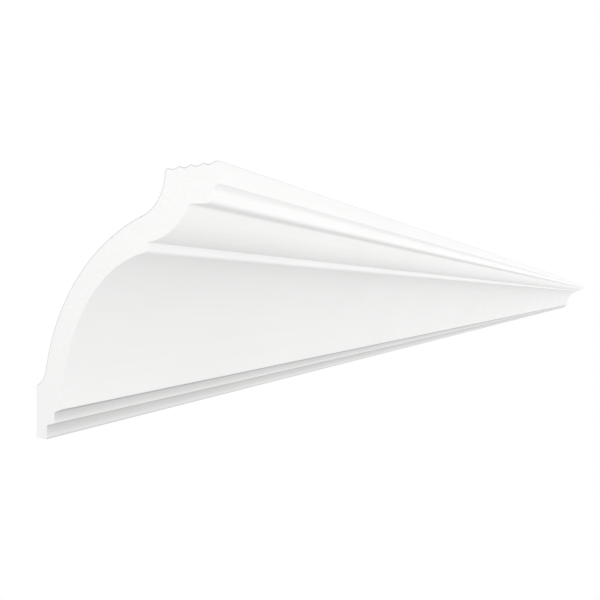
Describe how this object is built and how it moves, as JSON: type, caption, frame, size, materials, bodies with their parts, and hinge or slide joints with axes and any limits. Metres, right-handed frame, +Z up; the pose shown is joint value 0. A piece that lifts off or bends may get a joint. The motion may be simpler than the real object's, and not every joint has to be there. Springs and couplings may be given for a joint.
{
  "type": "crown moulding length",
  "caption": "White foam crown moulding with a stepped foot, a wide cove, an ovolo and flat bands, glued into the angle between a wall and a ceiling.",
  "frame": {"origin": "middle of the wall pad, the flat face that is glued to the wall, half way along the length", "axes": "+X along the length, +Y out of the wall pad towards the wall, +Z up towards the ceiling; the room side faces -Y"},
  "size_m": [2, 0.0675, 0.075],
  "materials": {
    "foam": "matt extruded skin, fine closed cells on the cut ends"
  },
  "bodies": {
    "root": {"crown_moulding": "foam"}
  },
  "joints": []
}
